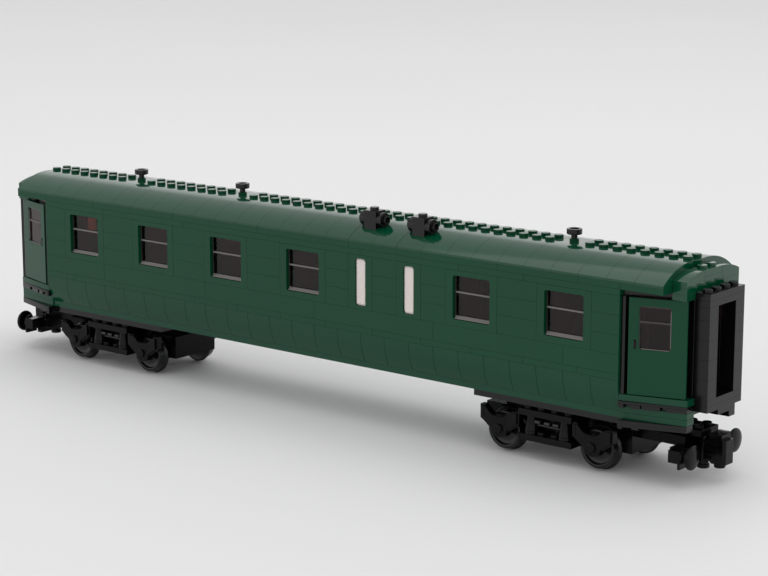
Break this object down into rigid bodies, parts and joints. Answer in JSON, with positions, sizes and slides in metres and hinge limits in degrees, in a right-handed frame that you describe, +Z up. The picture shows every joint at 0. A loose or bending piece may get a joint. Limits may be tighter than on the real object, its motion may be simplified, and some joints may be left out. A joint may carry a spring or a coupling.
{
  "type": "brick-built toy railway passenger coach",
  "caption": "Toy brick railway passenger coach with rounded studded roof, side windows, angled end doors, gangways and swivelling bogies that roll on rails.",
  "frame": {"origin": "on the floor under the middle of the coach, at the lowest point of the wheel flanges", "axes": "+X along the coach to its right-hand end, +Y across it away from the near side, +Z up"},
  "size_m": [0.4876, 0.064, 0.1158],
  "materials": {
    "green_body": "glossy moulded dark green plastic bricks",
    "black_plastic": "glossy moulded black plastic",
    "black_wheel": "satin black moulded wheels",
    "white_pane": "glossy white plastic",
    "brown_inside": "glossy reddish brown plastic",
    "grey_inside": "glossy dark grey plastic",
    "tinted_glass": "clear smoked plastic pane"
  },
  "bodies": {
    "coach": {"floor_plate": "green_body", "skirts": "green_body", "waist_walls": "green_body", "side_pillars": "green_body", "cantrails": "green_body", "window_frames": "green_body", "window_glass": "tinted_glass", "narrow_panes": "white_pane", "roof_slopes": "green_body", "roof_ridge": "green_body", "roof_end_left": "green_body", "roof_end_right": "green_body", "roof_vents": "black_plastic", "roof_boxes": "black_plastic", "bulkheads": "black_plastic", "end_walls": "black_plastic", "gangway_left": "black_plastic", "gangway_right": "black_plastic", "vestibule_floors": "green_body", "step_plates": "black_plastic", "saloon_floor": "grey_inside", "partitions": "brown_inside", "seats": "grey_inside", "pivot_plates": "black_plastic"},
    "bogie_left": {"bogie_frame_left": "black_plastic", "side_frames_left": "black_plastic", "coupler_arm_left": "black_plastic", "buffers_left": "black_plastic", "coupler_left": "black_plastic"},
    "bogie_right": {"bogie_frame_right": "black_plastic", "side_frames_right": "black_plastic", "coupler_arm_right": "black_plastic", "buffers_right": "black_plastic", "coupler_right": "black_plastic"},
    "door_near_left": {"door_near_left": "green_body", "door_glass_near_left": "tinted_glass"},
    "door_near_right": {"door_near_right": "green_body", "door_glass_near_right": "tinted_glass"},
    "door_far_left": {"door_far_left": "green_body", "door_glass_far_left": "tinted_glass"},
    "door_far_right": {"door_far_right": "green_body", "door_glass_far_right": "tinted_glass"},
    "wheels_left_outer": {"wheelset_left_outer": "black_wheel"},
    "wheels_left_inner": {"wheelset_left_inner": "black_wheel"},
    "wheels_right_inner": {"wheelset_right_inner": "black_wheel"},
    "wheels_right_outer": {"wheelset_right_outer": "black_wheel"}
  },
  "joints": [
    {"name": "bogie_left_swivel", "type": "hinge", "parent": "coach", "child": "bogie_left", "pos_m": [-0.155, 0, 0.0275], "axis": [0, 0, 1], "range_deg": [-30, 30]},
    {"name": "bogie_right_swivel", "type": "hinge", "parent": "coach", "child": "bogie_right", "pos_m": [0.155, 0, 0.0275], "axis": [0, 0, 1], "range_deg": [-30, 30]},
    {"name": "wheels_left_outer_roll", "type": "hinge", "parent": "bogie_left", "child": "wheels_left_outer", "pos_m": [-0.183, 0, 0.0113], "axis": [0, 1, 0], "continuous": true},
    {"name": "wheels_left_inner_roll", "type": "hinge", "parent": "bogie_left", "child": "wheels_left_inner", "pos_m": [-0.127, 0, 0.0113], "axis": [0, 1, 0], "continuous": true},
    {"name": "wheels_right_inner_roll", "type": "hinge", "parent": "bogie_right", "child": "wheels_right_inner", "pos_m": [0.127, 0, 0.0113], "axis": [0, 1, 0], "continuous": true},
    {"name": "wheels_right_outer_roll", "type": "hinge", "parent": "bogie_right", "child": "wheels_right_outer", "pos_m": [0.183, 0, 0.0113], "axis": [0, 1, 0], "continuous": true},
    {"name": "door_near_left_swing", "type": "hinge", "parent": "coach", "child": "door_near_left", "pos_m": [-0.2297, -0.0209, 0.068], "axis": [0, 0, -1], "range_deg": [0, 90]},
    {"name": "door_near_right_swing", "type": "hinge", "parent": "coach", "child": "door_near_right", "pos_m": [0.2297, -0.0209, 0.068], "axis": [0, 0, 1], "range_deg": [0, 90]},
    {"name": "door_far_left_swing", "type": "hinge", "parent": "coach", "child": "door_far_left", "pos_m": [-0.2297, 0.0209, 0.068], "axis": [0, 0, 1], "range_deg": [0, 90]},
    {"name": "door_far_right_swing", "type": "hinge", "parent": "coach", "child": "door_far_right", "pos_m": [0.2297, 0.0209, 0.068], "axis": [0, 0, -1], "range_deg": [0, 90]}
  ]
}
